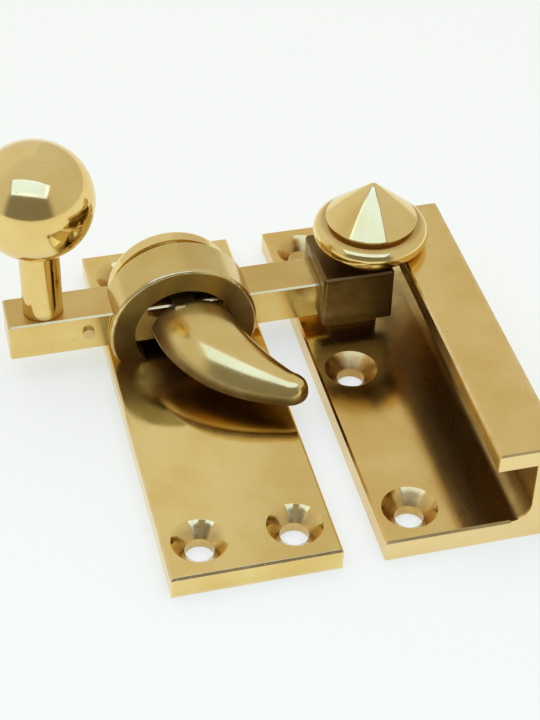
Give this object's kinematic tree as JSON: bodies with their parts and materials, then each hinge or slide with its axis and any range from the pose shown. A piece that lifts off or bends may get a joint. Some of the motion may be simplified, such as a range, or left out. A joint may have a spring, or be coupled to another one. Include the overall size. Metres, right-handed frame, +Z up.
{
  "type": "toggle bolt latch",
  "caption": "Brass window or cupboard latch: a bar bolt with a ball knob slides through a barrel into a keeper with an overhanging rail, under a hinged toggle lever.",
  "frame": {"origin": "middle of the whole latch's footprint, at the plates' undersides", "axes": "+X from the ball knob towards the keeper along the bolt, +Y towards the plates' back ends, +Z up off the plates"},
  "size_m": [0.0658, 0.065, 0.0373],
  "materials": {
    "polished_brass": "mirror polished, lacquered, lightly aged",
    "drawn_brass": "drawn wire and rod, satin",
    "spring_steel": "bright spring wire"
  },
  "bodies": {
    "plates": {"bolt_plate": "polished_brass", "barrel_housing": "polished_brass", "housing_rivets": "drawn_brass", "rear_cap": "polished_brass", "friction_pad": "drawn_brass", "pad_spring": "spring_steel", "lever_pivot_pin": "drawn_brass", "lever_spring": "spring_steel", "bolt_dog_pin": "drawn_brass", "keeper_plate": "polished_brass", "socket_post": "polished_brass", "post_rivet": "drawn_brass", "finial_stud": "drawn_brass", "finial": "polished_brass"},
    "bolt": {"bolt_bar": "polished_brass", "throw_stop_pin": "drawn_brass", "knob_stem": "polished_brass", "ball_stud": "drawn_brass", "ball_knob": "polished_brass"},
    "lever": {"toggle_lever": "polished_brass"}
  },
  "joints": [
    {"name": "bolt_slide", "type": "slide", "parent": "plates", "child": "bolt", "axis": [-1, 0, 0], "range_m": [-0.0019, 0.018]},
    {"name": "lever_lift", "type": "hinge", "parent": "plates", "child": "lever", "pos_m": [-0.00617, 0.0112, 0.0124], "axis": [-1, 0, 0], "range_deg": [0, 14], "stiffness_Nm_per_rad": 0.004, "springref_deg": -28.65}
  ]
}
